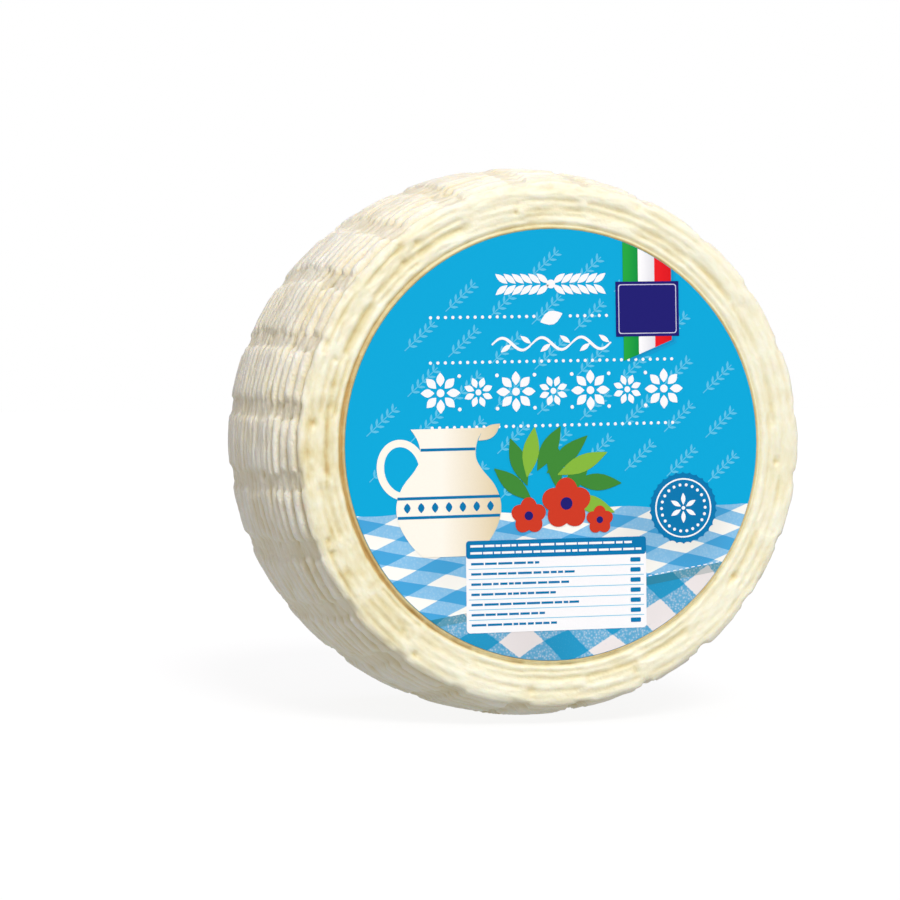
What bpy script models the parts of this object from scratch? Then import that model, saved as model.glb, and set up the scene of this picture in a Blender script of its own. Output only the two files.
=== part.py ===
"""A whole wheel of young sheep's milk cheese that has drained in a plastic basket.

The wheel stands on its rim, as a shop stands it up to show its label. Its axis
is the Y axis and the labelled face looks along -Y. The basket has left rows of
short ridges round the rim and on the back face. The front face has a shallow
seat in the middle, with a raised ring and a round band outside it, and a thin
round paper label lies in the seat. The origin is on the table, under the middle
of the wheel.
"""
import math
import random

import bmesh
import bpy

# Driving dimensions, in metres
WHEEL_DIAMETER = 0.180
WHEEL_WIDTH = 0.106
FACE_RADIUS = 0.0825
CORNER_RADIUS = 0.0035
FOOT_DEPTH = 0.0012
LABEL_DIAMETER = 0.136
LABEL_THICKNESS = 0.0004
LABEL_GAP = 0.0003

# The front face, from the label's seat outwards
SEAT_DEPTH = 0.0012
SEAT_RADIUS = 0.0686
RING_INNER_RADIUS = 0.0694
RING_OUTER_RADIUS = 0.0710
GROOVE_RADIUS = 0.0729
GROOVE_DEPTH = 0.0014
BAND_INNER_RADIUS = 0.0746
BAND_MIDDLE_RADIUS = 0.0772
BAND_DROP = 0.0003

# The basket's marks: one sector has a wide block of ridges and a narrow gap
SECTORS = 24
BLOCK_HALF_ANGLE = math.radians(4.5)
RIM_RIDGES = 20
BLOCK_GROOVE_DEPTH = 0.0020
GAP_GROOVE_DEPTH = 0.0014
GAP_DROP = 0.0009
SHOULDER_STEPS = 6
UNEVENNESS = 0.0003

# The back face: short ridges in sectors, then a fan of radial ridges inside them
BACK_RIDGES = 9
BACK_OUTER_RADIUS = 0.0765
BACK_INNER_RADIUS = 0.0300
BACK_GROOVE_DEPTH = 0.0018
FAN_RADII = (0.0270, 0.0160, 0.0060)
FAN_GROOVE_DEPTH = 0.0014

COLUMNS_PER_SECTOR = 3
LABEL_SIDES = 96
RANDOM_SEED = 7

SHARP_ANGLE = math.radians(35)

CHEESE_COLOUR = (0.905, 0.855, 0.680, 1.0)
CHEESE_ROUGHNESS = 0.45
LABEL_COLOUR = (0.010, 0.400, 0.720, 1.0)
PAPER_ROUGHNESS = 0.35

WHEEL_RADIUS = WHEEL_DIAMETER / 2
HALF_WIDTH = WHEEL_WIDTH / 2
AXIS_HEIGHT = WHEEL_RADIUS - FOOT_DEPTH
COLUMNS = SECTORS * COLUMNS_PER_SECTOR
SECTOR_ANGLE = 2 * math.pi / SECTORS
MERGE_DISTANCE = 0.00001


def clear_scene():
    """Remove every object that the file opened with."""
    for old_object in list(bpy.data.objects):
        bpy.data.objects.remove(old_object, do_unlink=True)


def make_material(name, colour, roughness):
    """A Principled BSDF of one colour."""
    material = bpy.data.materials.new(name)
    material.use_nodes = True
    shader = material.node_tree.nodes["Principled BSDF"]
    shader.inputs["Base Color"].default_value = colour
    shader.inputs["Roughness"].default_value = roughness
    shader.inputs["Metallic"].default_value = 0.0
    return material


def make_object(name, collection, material, mesh_builder):
    """Wrap a finished bmesh in a named object with one material."""
    mesh = bpy.data.meshes.new(name)
    mesh_builder.to_mesh(mesh)
    mesh_builder.free()
    mesh.materials.append(material)
    new_object = bpy.data.objects.new(name, mesh)
    collection.objects.link(new_object)
    mesh.shade_smooth()
    mesh.set_sharp_from_angle(angle=SHARP_ANGLE)
    return new_object


def rim_radius(y):
    """The barrel-shaped rim: widest half way, falling to the faces as a parabola."""
    return WHEEL_RADIUS - (WHEEL_RADIUS - FACE_RADIUS) * (y / HALF_WIDTH) ** 2


def wheel_rows():
    """The wheel's half section as rows (radius, y, kind, number), from front to back."""
    front = -HALF_WIDTH
    seat = front + SEAT_DEPTH
    corner_y = HALF_WIDTH - CORNER_RADIUS
    corner_outer = rim_radius(corner_y)
    corner_inner = corner_outer - CORNER_RADIUS
    corner_sag = CORNER_RADIUS * (1 - math.sqrt(0.5))
    rows = [
        (0.0, seat, "seat", 0),
        (SEAT_RADIUS, seat, "seat", 1),
        (RING_INNER_RADIUS, front, "ring", 0),
        (RING_OUTER_RADIUS, front, "ring", 1),
        (GROOVE_RADIUS, front, "groove", 0),
        (BAND_INNER_RADIUS, front + BAND_DROP, "band", 0),
        (BAND_MIDDLE_RADIUS, front, "band", 1),
        (corner_inner, front + BAND_DROP, "band", 2),
        (corner_outer - corner_sag, front + corner_sag, "band", 3),
    ]
    rim_steps = 2 * RIM_RIDGES
    for number in range(rim_steps + 1):
        y = -corner_y + 2 * corner_y * number / rim_steps
        rows.append((rim_radius(y), y, "rim", number))
    rows.append((corner_outer - corner_sag, HALF_WIDTH - corner_sag, "corner", 0))
    rows.append((corner_inner, HALF_WIDTH, "corner", 1))
    back_steps = 2 * BACK_RIDGES
    for number in range(back_steps + 1):
        share = number / back_steps
        radius = BACK_OUTER_RADIUS + (BACK_INNER_RADIUS - BACK_OUTER_RADIUS) * share
        rows.append((radius, HALF_WIDTH, "back", number))
    for number, radius in enumerate(FAN_RADII):
        rows.append((radius, HALF_WIDTH, "fan", number))
    rows.append((0.0, HALF_WIDTH, "seat", 2))
    return rows


def row_normals(rows):
    """The outward direction (radial, y) of the section at each row."""
    normals = []
    for index, row in enumerate(rows):
        before = rows[max(index - 1, 0)]
        after = rows[min(index + 1, len(rows) - 1)]
        if row[2] == "rim":
            slope = -2 * (WHEEL_RADIUS - FACE_RADIUS) * row[1] / HALF_WIDTH ** 2
            along = (slope, 1.0)
        elif row[2] == "band" or row[2] == "corner":
            along = (after[0] - before[0], after[1] - before[1])
        else:
            along = (math.copysign(1.0, -row[1]), 0.0)
        length = math.hypot(*along)
        normals.append((along[1] / length, -along[0] / length))
    return normals


def groove_depth(kind, number, sector, place, last_number):
    """How far the basket's mark lies below the crest surface.

    place is 0 on the line between two sectors, and 1 or 2 on a block's ends.
    """
    on_block = place != 0
    if kind == "groove":
        return GROOVE_DEPTH if on_block else GROOVE_DEPTH / 2
    if kind == "rim":
        steps_from_face = min(number, last_number - number)
        shoulder_share = min(steps_from_face / SHOULDER_STEPS, 1.0)
        if on_block:
            return shoulder_share * (BLOCK_GROOVE_DEPTH if number % 2 else 0.0)
        return shoulder_share * (GAP_DROP if number % 2 else GAP_GROOVE_DEPTH)
    if kind == "back":
        if number in (0, last_number):
            return BACK_GROOVE_DEPTH / 4
        if on_block:
            return BACK_GROOVE_DEPTH if (number + sector) % 2 else 0.0
        return BACK_GROOVE_DEPTH / 2
    if kind == "fan":
        return 0.0 if on_block else FAN_GROOVE_DEPTH * FAN_RADII[number] / FAN_RADII[0]
    return 0.0


def column_angle(column):
    """The angle of a column: two on a block's ends, one on the line between sectors."""
    sector, place = divmod(column, COLUMNS_PER_SECTOR)
    line_angle = (sector + 0.5) * SECTOR_ANGLE
    if place == 0:
        return line_angle
    if place == 1:
        return line_angle + SECTOR_ANGLE / 2 - BLOCK_HALF_ANGLE
    return line_angle + SECTOR_ANGLE / 2 + BLOCK_HALF_ANGLE


def column_reach(place):
    """A block's flat facet touches the true circle half way between its two ends."""
    return 1.0 if place == 0 else 1.0 / math.cos(BLOCK_HALF_ANGLE)


def press_on_table(crest_z, z):
    """The soft cheese settles flat where its crests would be below the table."""
    return 0.0 if crest_z < 0.0 else max(z, 0.0)


def build_wheel(collection, material):
    """Spin the half section round the Y axis, then press the basket's marks into it."""
    rows = wheel_rows()
    normals = row_normals(rows)
    last_numbers = {row[2]: row[3] for row in rows}
    generator = random.Random(RANDOM_SEED)
    uneven = [[generator.uniform(0.0, UNEVENNESS) for _ in range(SECTORS)] for _ in rows]

    wheel = bmesh.new()
    row_layer = wheel.verts.layers.int.new("row")
    section = []
    for index, (radius, y, _, _) in enumerate(rows):
        point = wheel.verts.new((radius, y, 0.0))
        point[row_layer] = index
        section.append(point)
    for first, second in zip(section, section[1:]):
        wheel.edges.new((first, second))
    bmesh.ops.spin(
        wheel, geom=wheel.verts[:] + wheel.edges[:], cent=(0, 0, 0), axis=(0, -1, 0),
        dvec=(0, 0, 0), angle=2 * math.pi, steps=COLUMNS, use_merge=True,
    )
    bmesh.ops.remove_doubles(wheel, verts=wheel.verts[:], dist=MERGE_DISTANCE)
    bmesh.ops.recalc_face_normals(wheel, faces=wheel.faces[:])

    for point in wheel.verts:
        index = point[row_layer]
        radius, y, kind, number = rows[index]
        turn = math.atan2(point.co.z, point.co.x) % (2 * math.pi)
        column = round(turn / (2 * math.pi / COLUMNS)) % COLUMNS
        sector, place = divmod(column, COLUMNS_PER_SECTOR)
        angle = column_angle(column)
        depth = groove_depth(kind, number, sector, place, last_numbers[kind])
        if kind in ("rim", "back") and place != 0:
            depth += uneven[index][sector]
        radius *= column_reach(place)
        crest_z = AXIS_HEIGHT + radius * math.sin(angle)
        radius -= depth * normals[index][0]
        y -= depth * normals[index][1]
        z = AXIS_HEIGHT + radius * math.sin(angle)
        point.co = (radius * math.cos(angle), y, press_on_table(crest_z, z))
    bmesh.ops.triangulate(wheel, faces=wheel.faces[:])
    wheel.verts.layers.int.remove(row_layer)
    return make_object("cheese_wheel", collection, material, wheel)


def build_label(collection, material):
    """The round paper label, lying in the front face's seat."""
    label = bmesh.new()
    bmesh.ops.create_cone(
        label, cap_ends=True, cap_tris=False, segments=LABEL_SIDES,
        radius1=LABEL_DIAMETER / 2, radius2=LABEL_DIAMETER / 2, depth=LABEL_THICKNESS,
    )
    new_object = make_object("label", collection, material, label)
    seat_y = -HALF_WIDTH + SEAT_DEPTH
    label_y = seat_y - LABEL_GAP - LABEL_THICKNESS / 2
    new_object.location = (0.0, label_y, AXIS_HEIGHT)
    new_object.rotation_euler = (math.radians(90), 0.0, 0.0)
    return new_object


def main():
    clear_scene()
    collection = bpy.data.collections.new("primosale_cheese")
    bpy.context.scene.collection.children.link(collection)
    cheese = make_material("fresh_cheese", CHEESE_COLOUR, CHEESE_ROUGHNESS)
    paper = make_material("label_paper", LABEL_COLOUR, PAPER_ROUGHNESS)
    build_wheel(collection, cheese)
    build_label(collection, paper)


main()
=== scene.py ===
# %% [markdown]
# # A basket cheese, standing on its rim
# The object is a whole wheel of young sheep's milk cheese. The curd drained in a plastic basket,
# and the basket left rows of short ridges in it. A round printed label lies on the front face.
# The first cell loads the measured solids, so that every piece made here can be placed by them.

# %% Load the solids and read their sizes
import math

import bmesh
import bpy
import numpy as np
from mathutils import Matrix, Vector, noise


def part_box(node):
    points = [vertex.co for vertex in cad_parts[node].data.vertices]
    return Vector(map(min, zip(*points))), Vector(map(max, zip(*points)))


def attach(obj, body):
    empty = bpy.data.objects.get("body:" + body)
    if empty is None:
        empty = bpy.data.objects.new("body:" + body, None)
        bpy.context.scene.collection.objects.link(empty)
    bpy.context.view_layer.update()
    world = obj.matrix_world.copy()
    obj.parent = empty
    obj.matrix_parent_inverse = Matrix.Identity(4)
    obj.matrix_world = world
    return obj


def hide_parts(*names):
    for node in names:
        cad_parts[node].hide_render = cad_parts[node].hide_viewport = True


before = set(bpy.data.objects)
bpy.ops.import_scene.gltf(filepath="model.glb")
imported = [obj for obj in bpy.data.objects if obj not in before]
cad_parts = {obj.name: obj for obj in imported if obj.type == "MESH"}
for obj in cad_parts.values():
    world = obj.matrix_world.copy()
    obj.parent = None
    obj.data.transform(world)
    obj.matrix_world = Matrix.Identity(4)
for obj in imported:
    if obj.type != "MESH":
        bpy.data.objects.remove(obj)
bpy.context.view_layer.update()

MM = 0.001
wheel_low, wheel_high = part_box("cheese_wheel")
label_low, label_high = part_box("label")
HALF_WIDTH = wheel_high[1] / MM
WHEEL_RADIUS = min(wheel_high[0], -wheel_low[0]) / MM
AXIS_HEIGHT = (label_high[2] + label_low[2]) / 2 / MM
LABEL_RADIUS = (label_high[0] - label_low[0]) / 2 / MM
LABEL_FRONT = label_low[1] / MM
print(f"wheel {2 * WHEEL_RADIUS:.1f} mm across, {2 * HALF_WIDTH:.1f} mm wide, axis {AXIS_HEIGHT:.1f} mm up")
print(f"label {2 * LABEL_RADIUS:.1f} mm across, its face at y {LABEL_FRONT:.2f} mm")

# %% [markdown]
# ## The wheel's half section
# A wheel is a turned shape, so it starts as half a section: a line from the middle of the front
# face, over the rim, to the middle of the back face. The rim is a barrel, a little wider half way.
# The corner is an arc that meets the leaning rim smoothly. Where they meet depends on the lean
# there, so a few rounds find it. The sizes of the shape are in millimetres.

# %% Barrel and corner
BULGE = 7.1
CORNER_RADIUS = 4.5
CORNER_ROUNDS = 6


def barrel_radius(y):
    """The rim's radius at a distance y from the middle of the wheel's width."""
    return WHEEL_RADIUS - BULGE * (y / HALF_WIDTH) ** 2


def barrel_slope(y):
    """The angle by which the rim's surface leans towards the nearer face."""
    return math.atan(2 * BULGE * y / HALF_WIDTH ** 2)


rim_end = HALF_WIDTH - CORNER_RADIUS
for _ in range(CORNER_ROUNDS):
    lean = barrel_slope(rim_end)
    rim_end = HALF_WIDTH - CORNER_RADIUS + CORNER_RADIUS * math.sin(lean)
CORNER_CENTRE = (barrel_radius(rim_end) - CORNER_RADIUS * math.cos(lean), HALF_WIDTH - CORNER_RADIUS)
CORNER_TURN = math.pi / 2 - lean
print(f"a corner starts {rim_end:.1f} mm from the middle; the rim leans {math.degrees(lean):.1f} degrees")

# %% [markdown]
# ## Rows of points
# The half section becomes a list of rows, closer together where narrow creases will cross them.
# Each row keeps the way it faces, because the basket's marks go in that way, and how far along the
# line it is, because the marks are laid out by that distance.

# %% Rows of the half section
SEAT_DEPTH = 1.1
FACE_START = 69.0
BACK_RIDGES_START = 77.0
BACK_RIDGES_END = 29.0
FACE_STEP = 0.5
CORNER_STEP = 0.7
RIM_STEP = 0.76
BACK_STEP = 1.25
FAN_STEP = 2.0


def steps_between(first, last, step):
    """Even values from first up to last, without last."""
    count = max(1, round(abs(last - first) / step))
    return [first + (last - first) * i / count for i in range(count)]


def corner_row(turn, face_side, zone):
    """A row of the rounded corner, at the front where face_side is -1 and at the back where it is 1."""
    out, flat = math.sin(turn), math.cos(turn)
    radius = CORNER_CENTRE[0] + CORNER_RADIUS * out
    return (radius, face_side * (CORNER_CENTRE[1] + CORNER_RADIUS * flat), out, face_side * flat, zone)


# a row is its radius, its y, the two parts of the direction it faces (out and along Y), and its zone
rows = [
    (0.0, SEAT_DEPTH - HALF_WIDTH, 0, -1, "seat"),
    (LABEL_RADIUS - 0.5, SEAT_DEPTH - HALF_WIDTH, 0, -1, "seat"),
    (LABEL_RADIUS + 0.12, 0.72 - HALF_WIDTH, 0, -1, "seat"),
    (LABEL_RADIUS + 0.45, 0.42 - HALF_WIDTH, 0, -1, "seat"),
]
for radius in steps_between(FACE_START, CORNER_CENTRE[0], FACE_STEP):
    rows.append((radius, -HALF_WIDTH, 0, -1, "front"))
for turn in steps_between(0, CORNER_TURN, CORNER_STEP / CORNER_RADIUS):
    rows.append(corner_row(turn, -1, "front"))
for y in steps_between(-rim_end, rim_end, RIM_STEP):
    lean = barrel_slope(y)
    rows.append((barrel_radius(y), y, math.cos(lean), math.sin(lean), "rim"))
for turn in steps_between(CORNER_TURN, 0, CORNER_STEP / CORNER_RADIUS):
    rows.append(corner_row(turn, 1, "rim"))
for radius in steps_between(CORNER_CENTRE[0], BACK_RIDGES_END, BACK_STEP):
    rows.append((radius, HALF_WIDTH, 0, 1, "back"))
for radius in steps_between(BACK_RIDGES_END, 0, FAN_STEP):
    rows.append((radius, HALF_WIDTH, 0, 1, "back"))
rows.append((0.0, HALF_WIDTH, 0, 1, "back"))

along = np.zeros(len(rows))
first_front = next(i for i, row in enumerate(rows) if row[4] == "front")
for i in range(first_front + 1, len(rows)):
    along[i] = along[i - 1] + math.dist(rows[i][:2], rows[i - 1][:2])
rim_rows = [i for i, row in enumerate(rows) if row[4] == "rim"]
RIM_START = along[rim_rows[0]]
RIM_END = along[rim_rows[-1]]
print(len(rows), "rows; the rim goes from", round(RIM_START, 1), "to", round(RIM_END, 1), "mm along")

# %% [markdown]
# ## Spin the section into a wheel
# `bmesh.ops.spin` turns the line round the wheel's axis in even steps. A layer on the points
# remembers which row each one came from, and spin copies it. The ridges' ends need more points
# than their middles do, so the columns are then moved closer together there.

# %% Spin, and crowd the columns near the ridges' ends
SECTORS = 24
COLUMNS_PER_SECTOR = 18
SECTOR = 360 / SECTORS
BLOCK_HALF = 5.3
CROWDING = 1.6
CROWD_WIDTH = 0.16

columns = SECTORS * COLUMNS_PER_SECTOR
wheel = bmesh.new()
row_layer = wheel.verts.layers.int.new("row")
line = []
for number, row in enumerate(rows):
    point = wheel.verts.new((row[0], row[1], 0.0))
    point[row_layer] = number
    line.append(point)
for first, second in zip(line, line[1:]):
    wheel.edges.new((first, second))
bmesh.ops.spin(
    wheel, geom=wheel.verts[:] + wheel.edges[:], cent=(0, 0, 0), axis=(0, -1, 0),
    dvec=(0, 0, 0), angle=2 * math.pi, steps=columns, use_merge=True,
)
bmesh.ops.remove_doubles(wheel, verts=wheel.verts[:], dist=0.001)
bmesh.ops.recalc_face_normals(wheel, faces=wheel.faces[:])
wheel_mesh = bpy.data.meshes.new("cheese_rind")
wheel.to_mesh(wheel_mesh)
wheel.free()

points = np.zeros(len(wheel_mesh.vertices) * 3)
wheel_mesh.vertices.foreach_get("co", points)
points = points.reshape(-1, 3)
row_of = np.zeros(len(points), dtype=np.int32)
wheel_mesh.attributes["row"].data.foreach_get("value", row_of)
wheel_mesh.attributes.remove(wheel_mesh.attributes["row"])

place = np.linspace(-1, 1, COLUMNS_PER_SECTOR + 1)
middles = (place[1:] + place[:-1]) / 2
crowd = 1 + CROWDING * np.exp(-((np.abs(middles) - 2 * BLOCK_HALF / SECTOR) / CROWD_WIDTH) ** 2)
widths = 1 / crowd
edges = np.concatenate([[0], np.cumsum(widths)]) / widths.sum() * SECTOR
even = np.degrees(np.arctan2(points[:, 2], points[:, 0])) % 360
column = np.round(even / 360 * columns).astype(int) % columns
angle = (column // COLUMNS_PER_SECTOR) * SECTOR + edges[column % COLUMNS_PER_SECTOR] + SECTOR / 2
angle = angle % 360
print(len(points), "points in", columns, "columns, the narrowest", round(np.diff(edges).min(), 2), "degrees")

# %% [markdown]
# ## Where the basket pressed
# Round the rim each sector of 15 degrees has a block of ridges and a narrow gap where the basket's
# rib stood. Creases part the ridges. No two creases are alike on a real cheese, so seeded random
# tables shift them, make some shallow and end some early. The front face has only a few long, thin
# arcs. Angles are in degrees and go round from the right, by way of the top.

# %% Tables of creases, one row each and one entry for each sector
CREASE_PITCH = 4.95
CREASE_DEPTH = 1.35
CREASE_WIDTH = 0.85
CREASE_VARY = 0.45
PITCH_JITTER = 0.3
UPPER_LEFT = 150
ROUGHER_THERE = 0.15
BROWN_SIDE_ANGLE = 195
DEEPER_THERE = 0.45
MISSED_SHARE = 0.10
LAST_CREASE_GAP = 3
chance = np.random.default_rng(24)

# where along the section, how deep, how wide (mm), half its length (degrees), how much it varies
FACE_CREASES = [
    (0.30, 1.05, 0.60, 8.6, 0.0),
    (3.0, 0.50, 0.60, 8.0, 0.50),
    (5.3, 0.80, 1.05, 7.8, 0.35),
    (8.0, 0.45, 0.75, 7.0, 0.70),
    (10.8, 0.55, 0.75, 7.0, 0.50),
    (RIM_START + 0.6, 0.80, 0.80, 5.8, 0.25),
    (RIM_START + 7.2, 0.70, 0.80, 5.3, 0.22),
    (RIM_START + 13.2, 0.70, 0.80, 5.3, 0.25),
    (RIM_START + 18.2, 1.00, 0.85, 5.3, 0.35),
]
crease_rows = list(FACE_CREASES)
while crease_rows[-1][0] + CREASE_PITCH < RIM_END - LAST_CREASE_GAP:
    at = crease_rows[-1][0] + CREASE_PITCH + chance.uniform(-PITCH_JITTER, PITCH_JITTER)
    crease_rows.append((at, CREASE_DEPTH, CREASE_WIDTH, BLOCK_HALF, CREASE_VARY))
crease_at, crease_depth, crease_wide, crease_half, crease_vary = np.array(crease_rows).T
creases = len(crease_rows)
FIRST_BLOCK_CREASE = 5
shift = chance.normal(0, 0.30, (creases, SECTORS)).clip(-0.8, 0.8)
shift[0] = 0.1    # the groove round the label is even, because the label's disc pressed it
strength = 1 - crease_vary[:, None] * chance.uniform(-0.4, 1.6, (creases, SECTORS))
strength[chance.random((creases, SECTORS)) < MISSED_SHARE] *= 0.3
sector_angle = np.arange(SECTORS) * SECTOR
strength[:FIRST_BLOCK_CREASE] *= 1 + ROUGHER_THERE * np.cos(np.radians(sector_angle - UPPER_LEFT))
strength[0] = 1 + DEEPER_THERE * np.cos(np.radians(sector_angle - BROWN_SIDE_ANGLE))
strength = strength.clip(0, 1.5)
half_length = crease_half[:, None] + chance.normal(0, 0.5, (creases, SECTORS)).clip(-1.0, 1.0)
gap_strength = chance.uniform(0.35, 1.0, (creases, SECTORS))
ridge_drop = chance.uniform(0, 0.35, (creases + 1, SECTORS)) + chance.uniform(0, 0.30, SECTORS)
print(creases, "creases from", round(crease_at[0], 1), "to", round(crease_at[-1], 1), "mm along the section")

# %% [markdown]
# ## The depth of every mark
# How far the basket pressed each point in is worked out for all points at once, with NumPy arrays.
# A crease is a smooth valley, so its depth is a bell curve of the distance from its middle, and the
# sum of many valleys is the depth at a point. Soft steps begin and end the creases, because curd
# rounds every edge.

# %% Add up the creases
END_SOFTNESS = 0.65
FACE_SOFTNESS = 1.7


def soft_step(low, high, value):
    """0 below low, 1 above high, and a smooth curve between."""
    share = np.clip((value - low) / (high - low), 0, 1)
    return share * share * (3 - 2 * share)


def valley(away, width):
    """1 in the middle, falling smoothly to nothing about two widths away."""
    return np.exp(-(away / width) ** 2)


def turned_from(centre):
    """Each point's angle from a centre angle, between -180 and 180 degrees."""
    return (angle - centre + 180) % 360 - 180


row_array = np.array([row[:4] for row in rows])
radius, side, out, forward = row_array[row_of].T
distance = along[row_of]
on_back = np.array([row[4] == "back" for row in rows])[row_of]
on_seat = np.array([row[4] == "seat" for row in rows])[row_of]
nearest = np.round(angle / SECTOR)
sector = nearest.astype(int) % SECTORS
local = angle - nearest * SECTOR
gap_number = np.floor(angle / SECTOR).astype(int) % SECTORS
ridge_number = np.searchsorted(crease_at, distance)

rim_share = soft_step(RIM_START - 5, RIM_START + 1, distance)
rim_share *= 1 - soft_step(RIM_END - 5, RIM_END + 1, distance)
block_half = half_length[np.minimum(ridge_number, creases - 1), sector]
on_block = 1 - soft_step(block_half - END_SOFTNESS, block_half + END_SOFTNESS, np.abs(local))

crease = np.zeros(len(points))
for number in range(creases):
    ends = half_length[number, sector]
    soft = END_SOFTNESS if number >= FIRST_BLOCK_CREASE else FACE_SOFTNESS
    inside = 1 - soft_step(ends - soft, ends + soft, np.abs(local))
    away = distance - crease_at[number] - shift[number, sector]
    here = crease_depth[number] * valley(away, crease_wide[number])
    crease += here * strength[number, sector] * inside
    if number >= FIRST_BLOCK_CREASE:
        in_gap = 0.5 * crease_depth[number] * gap_strength[number, gap_number] * (1 - inside) * rim_share
        crease += in_gap * valley(distance - crease_at[number], crease_wide[number] * 0.8)
crease[on_back | on_seat] = 0
print("deepest crease:", round(crease.max(), 2), "mm")

# %% [markdown]
# ## Ridges and gaps
# Between two creases the ridge is rounded, lower at its edges, and each ridge stands a little lower
# or higher than its neighbours. Next to the front face the ridges bulge like pillows. The gaps
# between the blocks lie deeper, and deepest under the wheel, where its weight pressed.

# %% Ridges and gaps
RIDGE_ROUNDING = 0.45
PILLOW = 2.2
PILLOWS_END = 27
GAP_DEPTH = 1.25
UNDER_ANGLE = 285
UNDER_SPREAD = 32
DEEPER_UNDER = 0.8
SHOULDER_GAP = 0.4

lower = np.concatenate([[crease_at[0] - CREASE_PITCH], crease_at])[ridge_number]
upper = np.concatenate([crease_at, [crease_at[-1] + CREASE_PITCH]])[ridge_number]
across = (2 * distance - lower - upper) / (upper - lower)
ridge = RIDGE_ROUNDING * across ** 4 + ridge_drop[ridge_number, sector]
on_shoulder = 1 - soft_step(RIM_START + 12, RIM_START + PILLOWS_END, distance)
ridge += PILLOW * on_shoulder * across ** 2
gap_depth = GAP_DEPTH * (1 + DEEPER_UNDER * valley(angle - UNDER_ANGLE, UNDER_SPREAD))
gap_depth += SHOULDER_GAP * on_shoulder
base = rim_share * (gap_depth * (1 - on_block) + on_block * ridge)
base[on_back | on_seat] = 0
print("deepest crease on the rim:", round((crease + base).max(), 2), "mm")

# %% [markdown]
# ## The back face
# The basket's floor leaves two patterns: rows of short creases in sectors, each sector half a step
# off its neighbours, and inside them a fan of fine ridges round the middle. Both are functions of
# the radius and the angle, so the same valley curve makes them.

# %% Creases and fan on the back
BACK_PITCH = 5.1
BACK_CREASE_WIDTH = 1.05
BACK_DEPTH = 1.5
BACK_HALF = 6.6
BACK_SOFTNESS = 0.7
BACK_FIRST = 1.2
BACK_FADE = 7
FAN_PER_SECTOR = 3
FAN_EYE = (5, 11)
FAN_DEPTH = 1.1
FAN_TWIST = 0.35

back_rows = int((BACK_RIDGES_START - BACK_RIDGES_END) / BACK_PITCH) + 1
back_shift = chance.normal(0, 0.22, (back_rows + 1, SECTORS))
back_strength = chance.uniform(0.35, 1.1, (back_rows + 1, SECTORS))
back_mark = np.zeros(len(points))
inside = 1 - soft_step(BACK_HALF - BACK_SOFTNESS, BACK_HALF + BACK_SOFTNESS, np.abs(local))
for number in range(back_rows + 1):
    at = BACK_RIDGES_END + BACK_FIRST + BACK_PITCH * (number + 0.5 * (sector % 2))
    away = radius - at - back_shift[number, sector]
    fading = 1 - soft_step(BACK_RIDGES_START - BACK_FADE, BACK_RIDGES_START, at)
    here = BACK_DEPTH * back_strength[number, sector] * fading * inside
    back_mark += here * valley(away, BACK_CREASE_WIDTH)
fan_turn = np.radians((angle + FAN_TWIST * (BACK_RIDGES_END - radius)) * SECTORS * FAN_PER_SECTOR)
fan = FAN_DEPTH * (0.5 - 0.5 * np.cos(fan_turn)) ** 2
fan *= soft_step(*FAN_EYE, radius) * (1 - soft_step(BACK_RIDGES_END - 3, BACK_RIDGES_END - 0.5, radius))
crease += np.where(on_back, back_mark + fan, 0)
print("rows of creases on the back:", back_rows + 1, "and fan ridges:", SECTORS * FAN_PER_SECTOR)

# %% [markdown]
# ## Unevenness of real curd
# Curd never fills a basket evenly. Slow noise swells and sinks the whole skin, streaky noise runs
# along the ridges, and curd grains that did not knit leave flakes of slightly different height. The
# streaks and flakes are laid on the unrolled skin, a point's angle and its distance along the
# section, wound round a cylinder so that the ends of the roll meet.

# %% Noise at every point
SWELL_SIZE = 17.0
SMEAR_SIZE = 21.0
STREAK_SIZE = 2.4
LUMP_SIZE = 5.0
FLAKE_SIZE = 3.6
GRAIN_EDGE = 0.25
GRAIN_SPREAD = 7.3
ROLL_RADIUS = 30.0
turned = np.radians(angle)

skin = np.stack([radius * np.cos(turned), side, radius * np.sin(turned)], axis=1)
roll_along = np.where(on_back, RIM_END + CREASE_PITCH + HALF_WIDTH - radius, distance)
roll = np.stack([ROLL_RADIUS * np.cos(turned), ROLL_RADIUS * np.sin(turned), roll_along], axis=1)
swell, smear, streak, flake, lump = np.zeros((5, len(skin)))
for i, (solid_place, roll_place) in enumerate(zip(skin.tolist(), roll.tolist())):
    solid_place, roll_place = Vector(solid_place), Vector(roll_place)
    swell[i] = noise.noise(solid_place / SWELL_SIZE)
    smear[i] = noise.noise(solid_place / SMEAR_SIZE + Vector((0, 7, 0)))
    streak[i] = noise.fractal(roll_place / STREAK_SIZE, 1.0, 2.0, 3)
    lump[i] = noise.fractal(solid_place / LUMP_SIZE + Vector((0, 3, 0)), 1.0, 2.0, 2)
    near, grains = noise.voronoi(roll_place / FLAKE_SIZE)
    edge = min((near[1] - near[0]) / GRAIN_EDGE, 1)
    flake[i] = noise.cell(grains[0] * GRAIN_SPREAD) * edge
print("slow noise goes from", round(swell.min(), 2), "to", round(swell.max(), 2))

# %% [markdown]
# ## Wiped and flaky places
# A cloth or a hand wiped some creases nearly shut, most of them on the left. A mask from slow noise
# and one round the left side make those creases shallower. The flakes and lumps stand out most at
# the upper left of the front face, where the curd was driest.

# %% Wiped and flaky places
SMEAR_LIMITS = (0.06, 0.38)
SMEAR_SHARE = 0.7
WIPED_ANGLE = 165
WIPED_SPREAD = 50
WIPED_SHARE = 0.55
FLAKY_ANGLE = 145
FLAKY_SPREAD = 48
FLAKY_REACH = 12

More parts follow.
